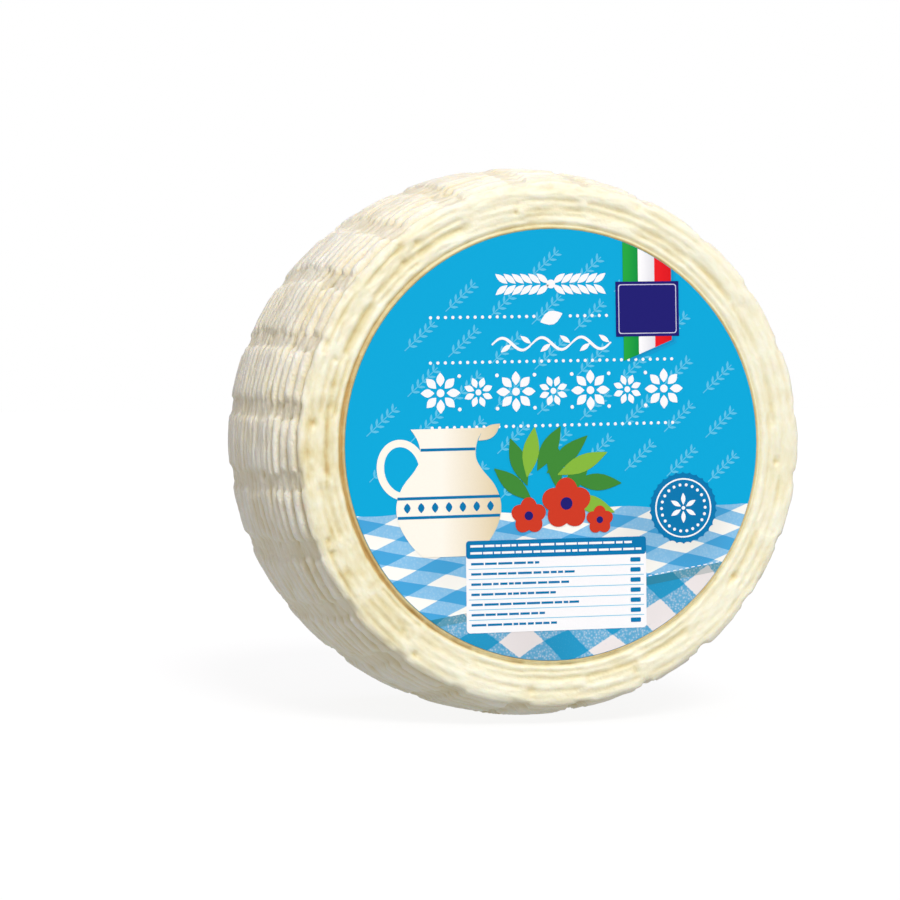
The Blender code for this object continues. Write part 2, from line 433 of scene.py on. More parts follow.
smear = soft_step(*SMEAR_LIMITS, smear)
wiped = valley(turned_from(WIPED_ANGLE), WIPED_SPREAD)
wiped *= soft_step(RIM_START + 14, RIM_START + 24, distance)
crease *= 1 - rim_share * np.maximum(SMEAR_SHARE * smear, WIPED_SHARE * wiped)
flaky = valley(turned_from(FLAKY_ANGLE), FLAKY_SPREAD) * valley(distance - RIM_START + 5, FLAKY_REACH)
flaky[on_back] = 0
print(f"{np.mean(smear > 0.5):.0%} of the points are smeared and {np.mean(flaky > 0.5):.0%} are flaky")

# %% [markdown]
# ## Pits
# Small pits sit where whey stayed between two blocks. Each is a round valley near the end of a
# ridge, in a place and of a size drawn at random. Some are kept for the flaky place.

# %% Pits
PITS = 110
FLAKY_PITS = 30

pit = np.zeros(len(points))
pit_sector = chance.integers(0, SECTORS, PITS)
pit_row = chance.integers(2, creases, PITS)
pit_end = chance.choice([-1, 1], PITS)
pit_sector[:FLAKY_PITS] = np.round(FLAKY_ANGLE / SECTOR + chance.normal(0, 1.6, FLAKY_PITS))
pit_row[:FLAKY_PITS] = chance.integers(2, 10, FLAKY_PITS)
for number in range(PITS):
    at_angle = pit_sector[number] * SECTOR + pit_end[number] * (BLOCK_HALF + chance.uniform(-0.8, 1.6))
    at_distance = crease_at[pit_row[number]] + chance.uniform(-1.4, 1.4)
    sideways = np.radians(turned_from(at_angle)) * radius
    reach = chance.uniform(0.6, 1.4)
    pit += chance.uniform(0.5, 1.2) * valley(np.hypot(sideways, distance - at_distance), reach)
pit[on_back | on_seat] = 0
print(PITS, "pits, the deepest", round(pit.max(), 2), "mm")

# %% [markdown]
# ## Depth in all
# The marks and the unevenness add up. No crest can stand out past the basket's wall, so the depth
# is kept above nothing, by a curve that rounds the crests instead of cutting them flat.

# %% Depth in all
SWELL = 0.30
STREAK = 0.60
FLAKE = 0.55
LUMP = 0.60
CREST_SOFTNESS = 0.15
FACE_SPARE = 0.25
RIM_SPARE = -0.15

uneven = SWELL * swell + STREAK * (0.1 + 0.6 * streak) + FLAKE * (0.45 + 0.5 * flaky) * flake
uneven += LUMP * (0.25 + 0.45 * flaky) * lump
spare = FACE_SPARE * (1 - rim_share) + RIM_SPARE * rim_share
depth = base + crease + pit + uneven + spare
depth = (depth + np.sqrt(depth ** 2 + CREST_SOFTNESS ** 2)) / 2
depth[on_seat] = 0
print("mean depth of the skin below its crests:", round(depth[~on_back].mean(), 2), "mm")

# %% [markdown]
# ## Moving the points in
# Each point moves in along its own direction by its depth. A fresh cheese is soft, so what would
# lie below the table is pressed flat on it. Three attributes go with the mesh to its material: how
# brown each spot is painted, partly whey colour and partly painted shade, how far it belongs to a
# face, and its place on the unrolled skin.

# %% Place the points, and make the rind an object
BROWN_SIDE_SPREAD = 38
FULL_WHEY_AND_SHADE_DEPTH = 1.9
BACK_WHEY_AND_SHADE = 0.6
SEAT_WHEY_AND_SHADE = 0.75


def add_object(name, data):
    """An object in the scene that holds a mesh, a light or a camera."""
    made = bpy.data.objects.new(name, data)
    bpy.context.scene.collection.objects.link(made)
    return made


new_radius = radius - depth * out
new_side = side - depth * forward
height = AXIS_HEIGHT + new_radius * np.sin(turned)
crest_height = AXIS_HEIGHT + radius * np.sin(turned)
height = np.where(crest_height < 0, 0, np.maximum(height, 0))
placed = np.stack([new_radius * np.cos(turned), new_side, height], axis=1) * MM
wheel_mesh.vertices.foreach_set("co", placed.ravel())
wheel_mesh.update()

# whey colour and painted shade: creases, gaps, pits and low spots get browner the deeper they lie
whey_and_shade_share = (1.1 * crease + 0.8 * pit + 0.3 * base + 0.5 * uneven) / FULL_WHEY_AND_SHADE_DEPTH
whey_and_shade_share[on_back] *= BACK_WHEY_AND_SHADE
# the front face is painted browner towards the left and along the groove round the label
left_browning = valley(turned_from(BROWN_SIDE_ANGLE), BROWN_SIDE_SPREAD) * (1 - rim_share) * ~on_back
whey_and_shade_share += left_browning * (0.10 + 0.45 * np.abs(lump) + 0.35 * valley(distance - crease_at[0], 0.7))
# the recess round the label's edge is painted brown: painted shade in the recess, with whey colour
whey_and_shade_share[on_seat] = SEAT_WHEY_AND_SHADE
for name, kind, field, values in (
    ("crease", "FLOAT", "value", np.clip(whey_and_shade_share, 0, 1)),
    ("face", "FLOAT", "value", 1 - rim_share),
    ("roll", "FLOAT_VECTOR", "vector", (roll * MM).ravel()),
):
    wheel_mesh.attributes.new(name, kind, "POINT").data.foreach_set(field, values)
wheel_mesh.shade_smooth()
cheese = add_object("cheese_rind", wheel_mesh)
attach(cheese, "root")
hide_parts("cheese_wheel")
print("triangles in the rind:", sum(len(face.vertices) - 2 for face in wheel_mesh.polygons))

# %% [markdown]
# ## Helpers for materials
# A colour on a screen is written as an sRGB hex value, but Blender's sockets expect linear light,
# so one function turns the one into the other. The others add a shader node, fill its sockets or
# its colour ramp, and give back what comes out of it. With these, each material below reads as a
# short list of what lies on what.

# %% Colour and node helpers
def linear(hex_colour):
    """An sRGB hex colour as linear red, green, blue and alpha."""
    channels = [int(hex_colour[i:i + 2], 16) / 255 for i in (1, 3, 5)]
    light = [c / 12.92 if c <= 0.04045 else ((c + 0.055) / 1.055) ** 2.4 for c in channels]
    return (*light, 1.0)


def fill(node, key, value):
    """Fill one socket of a node with a value, or with the output socket that feeds it."""
    if isinstance(value, bpy.types.NodeSocket):
        node.id_data.links.new(value, node.inputs[key])
    else:
        node.inputs[key].default_value = value


def fill_sockets(node, **sockets):
    """Fill sockets by their names, with _ for a space."""
    for name, value in sockets.items():
        fill(node, name.replace("_", " "), value)


def add_node(tree, kind, settings=None, **sockets):
    """Add a node, change its settings and fill its sockets."""
    node = tree.nodes.new(kind)
    for name, value in (settings or {}).items():
        setattr(node, name, value)
    fill_sockets(node, **sockets)
    return node


def add_maths(tree, operation, *values):
    """The result of a maths node."""
    node = add_node(tree, "ShaderNodeMath", {"operation": operation})
    for number, value in enumerate(values):
        fill(node, number, value)
    return node.outputs[0]


def add_range(tree, value, **limits):
    """A value stretched from one range to another. Limits left out are 0 and 1."""
    return add_node(tree, "ShaderNodeMapRange", Value=value, **limits).outputs[0]


def add_noise(tree, place, size, detail):
    """Noise whose features are as large as size, in mm."""
    made = add_node(tree, "ShaderNodeTexNoise", Vector=place, Scale=1 / (size * MM), Detail=detail)
    return made.outputs["Fac"]


def add_bump(tree, height, strength, depth, **below):
    """A bump as deep as depth, in mm. Normal may bring the bump that lies below it."""
    made = add_node(tree, "ShaderNodeBump", Height=height, Strength=strength, Distance=depth * MM, **below)
    return made.outputs[0]


def add_ramp(tree, value, *stops):
    """A colour ramp over a value. Each stop is a position and a hex colour."""
    ramp = add_node(tree, "ShaderNodeValToRGB", Fac=value)
    elements = ramp.color_ramp.elements
    for position, hex_colour in stops[1:-1]:
        elements.new(position).color = linear(hex_colour)
    for element, (position, hex_colour) in ((elements[0], stops[0]), (elements[-1], stops[-1])):
        element.position = position
        element.color = linear(hex_colour)
    return ramp.outputs[0]


def new_material(name):
    """A material with an empty Principled shader, and its node tree."""
    material = bpy.data.materials.new(name)
    material.use_nodes = True
    return material, material.node_tree, material.node_tree.nodes["Principled BSDF"]


print("ivory in linear light:", [round(c, 3) for c in linear("#f6f1da")])

# %% [markdown]
# ## Fresh cheese
# Young sheep's milk cheese is a moist, close curd. Light enters it and comes out a few millimetres
# away, so its shadows are soft and warm. Its crests are ivory. The creases, gaps and pits are painted
# straw yellow to brown, darker the deeper they lie: partly the whey that stays in them and partly
# painted shade. The crease attribute tells the colour ramp where those are. The two faces get a
# little yellower tint than the rim, a painted warm cast of the front light. The grain of the curd,
# about a millimetre, is finer than the mesh and comes from bump. It is rougher on the rim, where the
# basket's fine mesh printed it. The moist skin shines a little, unevenly.

# %% The cheese material
CURD_GRAIN = 1.0
STREAK_GRAIN = 0.9
CURD_PORES = 2.2
BLOTCH = 13.0
# ivory crests to brown deep creases; the darker stops are partly whey colour and partly painted shade
CURD_COLOURS = ((0.0, "#f9f6e8"), (0.28, "#f1ead0"), (0.6, "#e3d6ab"), (1.0, "#c8a366"))
FACE_WARM_LIGHT_TINT = (0.985, 0.985, 0.89, 1)

curd, tree, shader = new_material("fresh_curd_basket_moulded")
where = add_node(tree, "ShaderNodeTexCoord").outputs["Object"]
in_crease = add_node(tree, "ShaderNodeAttribute", {"attribute_name": "crease"}).outputs["Fac"]
on_roll = add_node(tree, "ShaderNodeAttribute", {"attribute_name": "roll"}).outputs["Vector"]
blotch = add_noise(tree, where, BLOTCH, 3.0)
grain = add_noise(tree, where, CURD_GRAIN, 4.0)
threads = add_noise(tree, on_roll, STREAK_GRAIN, 3.0)
pores = add_node(tree, "ShaderNodeTexVoronoi", Vector=where, Scale=1 / (CURD_PORES * MM))
# the crease attribute carries whey colour and painted shade; noise blotches and streaks it
blotched_whey_and_shade = add_maths(tree, "MULTIPLY_ADD", blotch, 0.5, in_crease)
lined = add_maths(tree, "MULTIPLY_ADD", threads, 0.3, blotched_whey_and_shade)
whey_and_shade_colour = add_ramp(tree, add_maths(tree, "SUBTRACT", lined, 0.36), *CURD_COLOURS)
on_face = add_node(tree, "ShaderNodeAttribute", {"attribute_name": "face"}).outputs["Fac"]
# painted warm light: the faces get a yellower tint, standing in for the warm front light
warm_lit_faces = add_node(
    tree, "ShaderNodeMix", {"data_type": "RGBA", "blend_type": "MULTIPLY"},
    Factor=on_face, A=whey_and_shade_colour, B=FACE_WARM_LIGHT_TINT,
)
rough = add_range(tree, on_face, To_Min=0.85, To_Max=0.28)
curd_bump = add_bump(tree, grain, rough, 0.35)
thready = add_range(tree, on_face, To_Min=0.8, To_Max=0.35)
thread_bump = add_bump(tree, threads, thready, 0.45, Normal=curd_bump)
pore_depth = add_range(tree, pores.outputs["Distance"], From_Max=0.35)
fill_sockets(
    shader, Base_Color=warm_lit_faces.outputs["Result"],
    Roughness=add_range(tree, grain, To_Min=0.34, To_Max=0.62),
    Normal=add_bump(tree, pore_depth, 0.3, 0.2, Normal=thread_bump),
    IOR=1.42, Subsurface_Weight=0.30, Subsurface_Radius=(1.0, 0.72, 0.42), Subsurface_Scale=2.0 * MM,
)
wheel_mesh.materials.append(curd)
print("materials so far:", [material.name for material in bpy.data.materials])

# %% [markdown]
# ## The label's paper
# The label is coated paper, offset printed. Its solid disc already has the right shape, so it only
# gets a better material: sky blue ink over a faint paper texture.

# %% Paper and ink materials
FIBRE = 0.35
INK_ROUGHNESS = 0.45
INK_SHINE = 0.12


def printed_ink(name, hex_colour, second_hex=None, from_x=0.0, to_x=1.0):
    """Offset ink on coated paper, even or shading from one colour to another along X in mm."""
    material, nodes, surface = new_material(name)
    spot = add_node(nodes, "ShaderNodeTexCoord").outputs["Object"]
    across = add_node(nodes, "ShaderNodeSeparateXYZ", Vector=spot).outputs["X"]
    share = add_range(nodes, across, From_Min=from_x * MM, From_Max=to_x * MM)
    colour = add_node(
        nodes, "ShaderNodeMix", {"data_type": "RGBA"},
        Factor=share, A=linear(hex_colour), B=linear(second_hex or hex_colour),
    )
    mottle = add_noise(nodes, spot, FIBRE, 2.0)
    value = add_range(nodes, mottle, To_Min=0.97, To_Max=1.03)
    worn = add_node(nodes, "ShaderNodeHueSaturation", Color=colour.outputs["Result"], Value=value)
    fill_sockets(
        surface, Base_Color=worn.outputs[0], Normal=add_bump(nodes, mottle, 0.12, 0.05),
        Roughness=INK_ROUGHNESS, Specular_IOR_Level=INK_SHINE,
    )
    return material


sky_blue = printed_ink("coated_paper_sky_blue_ink", "#00a9da")
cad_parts["label"].data.materials.clear()
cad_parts["label"].data.materials.append(sky_blue)
print("label paper:", sky_blue.name)

# %% [markdown]
# ## Printed shapes
# A picture texture would blur close by, so the print is made of real shapes. They are drawn flat,
# in millimetres from the label's middle, out of circles that are stretched, pinched or squared.
# Shapes of one ink may overlap, so each is a few thousandths higher than the one before.

# %% Drawing tools for shapes
SHAPE_LIFT = 0.0015
LIFTS = 8


def turned_place(middle, turn, x, y=0.0):
    """Where the point x, y comes to lie when it is turned by turn degrees and moved to middle."""
    cosine, sine = math.cos(math.radians(turn)), math.sin(math.radians(turn))
    return middle[0] + x * cosine - y * sine, middle[1] + x * sine + y * cosine


def spread(ink, verts, x, y, half_width, half_height, turn=0.0):
    """Stretch, turn and place a unit shape. x, y and the half sizes are in mm, turn in degrees."""
    move = Matrix.Translation((x, y, 0)) @ Matrix.Rotation(math.radians(turn), 4, "Z")
    move = move @ Matrix.Diagonal((half_width, half_height, 1, 1))
    lift = (len(ink.faces) % LIFTS) * SHAPE_LIFT
    bmesh.ops.transform(ink, verts=verts, matrix=Matrix.Translation((0, 0, lift)) @ move)


def add_round(ink, x, y, half_width, half_height=None, turn=0.0, corners=28):
    """A circle, or an oval if half_height is given."""
    made = bmesh.ops.create_circle(ink, cap_ends=True, segments=corners, radius=1)
    spread(ink, made["verts"], x, y, half_width, half_height or half_width, turn)


def add_leaf(ink, x, y, half_length, half_width, turn=0.0, corners=16):
    """A leaf is a circle whose sides are pinched to a point at both ends."""
    made = bmesh.ops.create_circle(ink, cap_ends=True, segments=corners, radius=1)
    for vert in made["verts"]:
        vert.co.y *= 1 - 0.75 * vert.co.x ** 2
    spread(ink, made["verts"], x, y, half_length, half_width, turn)


def add_bar(ink, x, y, half_width, half_height, turn=0.0, rounding=0.0):
    """A bar, with rounded corners if rounding is over 0."""
    made = bmesh.ops.create_circle(ink, cap_ends=True, segments=4, radius=math.sqrt(2))
    verts = made["verts"]
    bmesh.ops.rotate(ink, verts=verts, cent=(0, 0, 0), matrix=Matrix.Rotation(math.pi / 4, 3, "Z"))
    bmesh.ops.scale(ink, verts=verts, vec=(half_width, half_height, 1))
    if rounding:
        rounded = bmesh.ops.bevel(
            ink, geom=verts, affect="VERTICES", offset=rounding, segments=5, profile=0.5, material=-1,
        )
        verts = rounded["verts"]
    spread(ink, verts, x, y, 1, 1, turn)


print("shapes of one ink rise by", SHAPE_LIFT, "mm, over and over in", LIFTS, "steps")

# %% [markdown]
# ## Layers of ink
# Each ink is a thin layer on the paper, extruded by a few hundredths of a millimetre, so that its
# edges stay sharp at any distance. Large fields are cut from a disc as round as the label. The
# whole print is turned by one degree, because the label was laid on the cheese by hand.

# %% Drawing tools for layers
INK_THICKNESS = 0.02
LEVEL_STEP = 0.035
PRINT_TURN = 1.0


def cut_disc(keep_sides):
    """A disc as large as the label, cut by planes given as (point, outward direction)."""
    ink = bmesh.new()
    add_round(ink, 0, 0, LABEL_RADIUS - 0.1, corners=192)
    for point, outward in keep_sides:
        bmesh.ops.bisect_plane(
            ink, geom=ink.verts[:] + ink.edges[:] + ink.faces[:], dist=0.0001,
            plane_co=(*point, 0), plane_no=(*outward, 0), clear_outer=True,
        )
    return ink


def finish_layer(name, ink, level, material):
    """Give a drawn layer its thickness, stand it on the label and make it an object."""
    drawn = bmesh.ops.extrude_face_region(ink, geom=ink.faces[:])
    top = [part for part in drawn["geom"] if isinstance(part, bmesh.types.BMVert)]
    bmesh.ops.translate(ink, verts=top, vec=(0, 0, INK_THICKNESS))
    bmesh.ops.recalc_face_normals(ink, faces=ink.faces[:])
    front = LABEL_FRONT - 0.01 - (level - 1) * LEVEL_STEP
    stand = Matrix(((1, 0, 0, 0), (0, 0, -1, front), (0, 1, 0, AXIS_HEIGHT), (0, 0, 0, 1)))
    stand = stand @ Matrix.Rotation(math.radians(PRINT_TURN), 4, "Z")
    bmesh.ops.transform(ink, verts=ink.verts[:], matrix=Matrix.Scale(MM, 4) @ stand)
    mesh = bpy.data.meshes.new(name)
    ink.to_mesh(mesh)
    ink.free()
    mesh.materials.append(material)
    layer = add_object(name, mesh)
    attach(layer, "root")
    print(name, "has", len(mesh.polygons), "faces at level", level)


def one_shape_layer(name, level, material, draw, *sizes, **options):
    """A layer that holds a single shape, drawn by one of the functions above."""
    ink = bmesh.new()
    draw(ink, *sizes, **options)
    finish_layer(name, ink, level, material)


# %% [markdown]
# ## The background of sprigs
# A faint sprig repeats over the blue in slanting rows, as a wallpaper does. It is a stem with pairs
# of leaves, placed by two loops, and a sprig that would reach past the paper or into the cloth is
# left out.

# %% Faint sprigs
SPRIG_TURN = 42
SPRIG_STEP = (18.0, 11.0)
SPRIG_HALF = 6.6
SPRIG_LEAF = (1.3, 0.42)
LEAF_STEP = 2.3
LEAF_LEAN = 42
CLOTH_TOP = -20.4

sprigs = bmesh.new()
for row_number in range(-6, 7):
    for step in range(-5, 6):
        x = (step + 0.5 * (row_number % 2)) * SPRIG_STEP[0]
        centre = turned_place((0, 0), SPRIG_TURN, x, row_number * SPRIG_STEP[1])
        if math.hypot(*centre) > LABEL_RADIUS - SPRIG_HALF - 1 or centre[1] < CLOTH_TOP + 6:
            continue
        add_bar(sprigs, *centre, SPRIG_HALF, 0.15, SPRIG_TURN)
        for leaf in range(5):
            joint = turned_place(centre, SPRIG_TURN, (leaf - 2) * LEAF_STEP)
            for turn in (SPRIG_TURN - LEAF_LEAN, SPRIG_TURN + LEAF_LEAN):
                add_leaf(sprigs, *turned_place(joint, turn, 1.35), *SPRIG_LEAF, turn, corners=10)
pale_blue = printed_ink("coated_paper_pale_blue_ink", "#5fc3e6")
finish_layer("label_sprigs", sprigs, 1, pale_blue)

# %% [markdown]
# ## The checked cloth
# The lower part of the label shows a gingham cloth. Gingham is woven from white and blue threads in
# equal stripes both ways: where two blue stripes cross it is solid blue, where one crosses white it
# looks half blue, and elsewhere it is white. The material does just that with two stripe patterns.
# The part that lies away from the viewer is drawn squashed, and in front of a sewn hem the cloth
# hangs down with larger checks.

# %% Gingham print
THREAD = 0.75
FOLD_SIZE = 38.0


def gingham_print(name, check, squash, turn, sway, weave_share, hexes):
    """Gingham ink. check is a stripe's width in mm, squash flattens it upright, sway bends it.
    hexes are the white, the half blue and the whole blue."""
    material, nodes, surface = new_material(name)
    spot = add_node(nodes, "ShaderNodeTexCoord").outputs["Object"]
    upright = add_node(nodes, "ShaderNodeSeparateXYZ", Vector=spot)
    wavy = add_noise(nodes, spot, FOLD_SIZE, 1.0)
    fold = add_maths(nodes, "MULTIPLY_ADD", wavy, sway * MM, upright.outputs["Z"])
    flat = add_node(nodes, "ShaderNodeCombineXYZ", X=upright.outputs["X"], Y=fold)
    scaled = add_node(
        nodes, "ShaderNodeMapping", {"vector_type": "POINT"}, Vector=flat.outputs[0],
        Scale=(1 / (check * MM), squash / (check * MM), 1),
    )
    spun = add_node(
        nodes, "ShaderNodeVectorRotate", {"rotation_type": "Z_AXIS"}, Vector=scaled.outputs[0],
        Angle=math.radians(turn),
    )
    ways = add_node(nodes, "ShaderNodeSeparateXYZ", Vector=spun.outputs[0])
    stripes = []
    for way in ("X", "Y"):
        wave = add_maths(nodes, "PINGPONG", ways.outputs[way], 1.0)
        stripes.append(add_range(nodes, wave, From_Min=0.48, From_Max=0.52))
    blues = add_maths(nodes, "MULTIPLY", add_maths(nodes, "ADD", *stripes), 0.5)
    threads = add_node(nodes, "ShaderNodeTexVoronoi", Vector=spot, Scale=1 / (THREAD * MM))
    speck = add_range(nodes, threads.outputs["Distance"], To_Min=-weave_share, To_Max=weave_share)
    woven = add_maths(nodes, "ADD", blues, speck)
    weave = add_ramp(nodes, woven, (0.15, hexes[0]), (0.5, hexes[1]), (0.90, hexes[2]))
    shade = add_range(nodes, wavy, From_Min=0.3, From_Max=0.7, To_Min=0.80, To_Max=1.06)
    lit = add_node(nodes, "ShaderNodeHueSaturation", Color=weave, Value=shade)
    fill_sockets(
        surface, Base_Color=lit.outputs[0], Roughness=INK_ROUGHNESS, Specular_IOR_Level=INK_SHINE,
    )
    return material


print("gingham threads are", THREAD, "mm apart, and its folds", FOLD_SIZE, "mm")

# %% [markdown]
# ## Pieces of cloth
# The cloth is cut from the same disc as the paper, by planes, so its outer edge is the label's. The
# part that lies away ends in a gently waved edge. The hem is a strip between two parallel planes,
# with white stitches on it, and below it a darker strip is the shadow that the hem throws.

# %% Cloth lying away, cloth hanging in front, and the hem between them
HEM_POINT = Vector((30.2, -40.5))
HEM_SLOPE = math.atan2(4.1, 26.9)
HEM_WIDTH = 2.2
SHADE_END = 4.8
HEM_STITCHES = 46
STITCH_STEP = 2.1
STITCH_HALF = (0.55, 0.14)
FAR_CHECK = (11.5, 3.3, 33, 4, 0.05)
NEAR_CHECK = (10.5, 1.35, 50, 14, 0.20)

white_ink = printed_ink("coated_paper_white", "#f9f9f9")
deep_blue = printed_ink("coated_paper_deep_blue_ink", "#0077ae")
along_hem = Vector((math.cos(HEM_SLOPE), math.sin(HEM_SLOPE)))
above_hem = Vector((-along_hem.y, along_hem.x))
lying = cut_disc([((0, CLOTH_TOP), (0, 1))])
top_edges = [edge for edge in lying.edges if all(abs(v.co.y - CLOTH_TOP) < 0.01 for v in edge.verts)]
cut = bmesh.ops.subdivide_edges(lying, edges=top_edges, cuts=60)
for vert in cut["geom_inner"]:
    if isinstance(vert, bmesh.types.BMVert):
        vert.co.y += 0.5 * math.sin(vert.co.x / 9.0) + 0.25 * math.sin(vert.co.x / 3.7 + 1)
finish_layer("label_cloth_lying", lying, 1, gingham_print(
    "coated_paper_gingham_far", *FAR_CHECK, ("#fbfaf2", "#88c3e8", "#45a5da"),
))
hanging = cut_disc([(HEM_POINT, above_hem)])
finish_layer("label_cloth_hanging", hanging, 2, gingham_print(
    "coated_paper_gingham_near", *NEAR_CHECK, ("#ece6e4", "#6db0d4", "#2398c6"),
))
hem_end = HEM_POINT - HEM_WIDTH * above_hem
shaded = cut_disc([(hem_end, above_hem), (HEM_POINT - SHADE_END * above_hem, -above_hem)])
finish_layer("label_cloth_shaded", shaded, 3, gingham_print(
    "coated_paper_gingham_shaded", *NEAR_CHECK, ("#c3c6c4", "#5f9db4", "#2f88a6"),
))
hem_cloth = cut_disc([(HEM_POINT, above_hem), (hem_end, -above_hem)])
finish_layer("label_cloth_hem", hem_cloth, 3, bpy.data.materials["coated_paper_gingham_far"])
stitches = bmesh.new()
for number in range(HEM_STITCHES):
    x, y = HEM_POINT + along_hem * (28 - STITCH_STEP * number) - (HEM_WIDTH - 0.3) * above_hem
    if math.hypot(x, y) < LABEL_RADIUS - 1:
        add_bar(stitches, x, y, *STITCH_HALF, math.degrees(HEM_SLOPE))
finish_layer("label_hem_stitches", stitches, 4, white_ink)

# %% [markdown]
# ## Ribbon and plate
# A three-coloured ribbon hangs from the label's top edge. It is cut from the same disc as the
# paper, by planes at its sides and across its slanting end, so its top follows the round edge.
# A darker blue copy beside it is the ribbon's printed shadow.

# %% Three ribbon stripes and a navy plate
STRIPE_EDGES = (23.4, 28.5, 34.0, 39.6)
RIBBON_END = 26.1
RIBBON_SLANT = 21.7
STRIPE_INKS = (
    ("green", "#24a840", "#008f40"), ("white", "#fbfbfb", "#dcdce2"), ("red", "#ec1b23", "#d8101c"),
)
PLATE = (31.5, 42.5)

slant = math.radians(RIBBON_SLANT)
end_cut = ((STRIPE_EDGES[0], RIBBON_END), (math.sin(slant), -math.cos(slant)))
for step, ink_colour in ((1.6, "#0b9fd2"), (0.8, "#0a93c6")):
    lower_cut = ((STRIPE_EDGES[0], RIBBON_END - step), end_cut[1])
    shadow = cut_disc([lower_cut, ((STRIPE_EDGES[0] + 2, 0), (-1, 0)), ((STRIPE_EDGES[3] + step, 0), (1, 0))])
    shadow_ink = printed_ink(f"coated_paper_shadow_ink_{int(step * 10)}", ink_colour)
    finish_layer(f"ribbon_shadow_{int(step * 10)}", shadow, 2 if step > 1 else 3, shadow_ink)
for (colour, light_hex, dark_hex), left, right in zip(STRIPE_INKS, STRIPE_EDGES, STRIPE_EDGES[1:]):
    stripe = cut_disc([((left, 0), (-1, 0)), ((right, 0), (1, 0)), end_cut])
    shades = printed_ink(f"coated_paper_{colour}_ink", light_hex, dark_hex, left, right)
    finish_layer(f"ribbon_{colour}", stripe, 4, shades)

navy = printed_ink("coated_paper_navy_ink", "#1e1a72")
lilac = printed_ink("coated_paper_lilac_ink", "#cfcde6")
one_shape_layer("ribbon_plate", 5, navy, add_bar, *PLATE, 10.6, 8.7)
one_shape_layer("plate_border", 6, lilac, add_bar, *PLATE, 9.75, 7.85, rounding=0.9)
one_shape_layer("plate_field", 7, navy, add_bar, *PLATE, 9.45, 7.55, rounding=0.8)

# %% [markdown]
# ## White ornament
# Dotted rules cross the label, with a row of tile flowers between two of them, a laurel above and a
# curling vine below it. All are plain ornament: circles for dots, pinched circles for petals.

# %% Dots, laurel, vine and tile flowers
# a rule's height, its first dot and its last dot
RULES = ((40.6, -39.9, 17.8), (26.5, -40.2, 39.5), (6.25, -40.0, 39.5))
DOT_STEP = 2.41
PRINT_MIDDLE = -0.5
GAP_FOR_LEAF = 5.4
FLOWER_ROW = 17.1
FLOWERS = 7
FLOWER_STEP = 12.3
# how far out its petals lie, their half length and half width, the heart's radius, the first turn
FLOWER_SIZES = ((4.2, 2.2, 1.35, 1.25, 0), (3.2, 1.7, 1.0, 0.95, 22.5))
LAUREL_ROW = 50.7
LAUREL_STEP = 2.7
VINE_ROW = 32.0
VINE_START, VINE_LENGTH = -20, 39
VINE_DOTS, VINE_LEAVES = 120, 6

ornament = bmesh.new()
for y, first_x, last_x in RULES:
    count = round((last_x - first_x) / DOT_STEP)
    for number in range(count + 1):
        x = first_x + (last_x - first_x) * number / count
        if y == RULES[0][0] and abs(x - PRINT_MIDDLE) < GAP_FOR_LEAF:
            continue
        add_round(ornament, x, y, 0.52, corners=12)
add_leaf(ornament, PRINT_MIDDLE, RULES[0][0] - 0.5, 3.9, 2.2, 20)
for number in range(FLOWERS):
    x = (number - (FLOWERS - 1) / 2) * FLOWER_STEP - 0.2
    reach, petal_length, petal_width, heart, first_turn = FLOWER_SIZES[number % 2]
    for petal in range(8):
        turn = petal * 45 + first_turn
        petal_place = turned_place((x, FLOWER_ROW), turn, reach)
        add_leaf(ornament, *petal_place, petal_length, petal_width, turn)
    add_round(ornament, x, FLOWER_ROW, heart)
    if number < FLOWERS - 1:
        for offset in (-5.2, 5.2):
            add_round(ornament, x + FLOWER_STEP / 2, FLOWER_ROW + offset, 0.6, corners=12)
for side_sign in (-1, 1):
    for leaf in range(6):
        x = side_sign * (leaf + 1) * LAUREL_STEP + PRINT_MIDDLE
        for lean in (-1, 1):
            add_leaf(ornament, x, LAUREL_ROW + lean * 1.75, 2.5, 1.0, side_sign * lean * 38)
add_round(ornament, PRINT_MIDDLE, LAUREL_ROW, 1.4)
for number in range(VINE_DOTS):
    share = number / (VINE_DOTS - 1)
    x = VINE_START + VINE_LENGTH * share
    y = VINE_ROW + 1.9 * math.sin(share * VINE_LEAVES * math.pi)
    add_round(ornament, x, y, 0.30 + 0.22 * abs(math.sin(share * 3 * math.pi)), corners=10)
for number in range(VINE_LEAVES):
    x = VINE_START + VINE_LENGTH * (number + 0.5) / VINE_LEAVES
    up_sign = 1 if number % 2 == 0 else -1
    add_leaf(ornament, x + 1.2, VINE_ROW - up_sign * 1.3, 2.1, 0.8, up_sign * 35)
finish_layer("label_ornament", ornament, 2, white_ink)

# %% [markdown]
# ## Seal
# A blue seal with a scalloped edge sits at the right. It is a circle with many corners, each pulled
# in a little by a sine of its number. A ring, dots and a small rosette lie on it.

# %% Scalloped seal
SEAL = (42.7, -21.1)
SEAL_RADIUS = 11.5
SCALLOPS = 30
SCALLOP_DEPTH = 0.045
SEAL_DOTS = 22
DOT_CIRCLE = 7.4

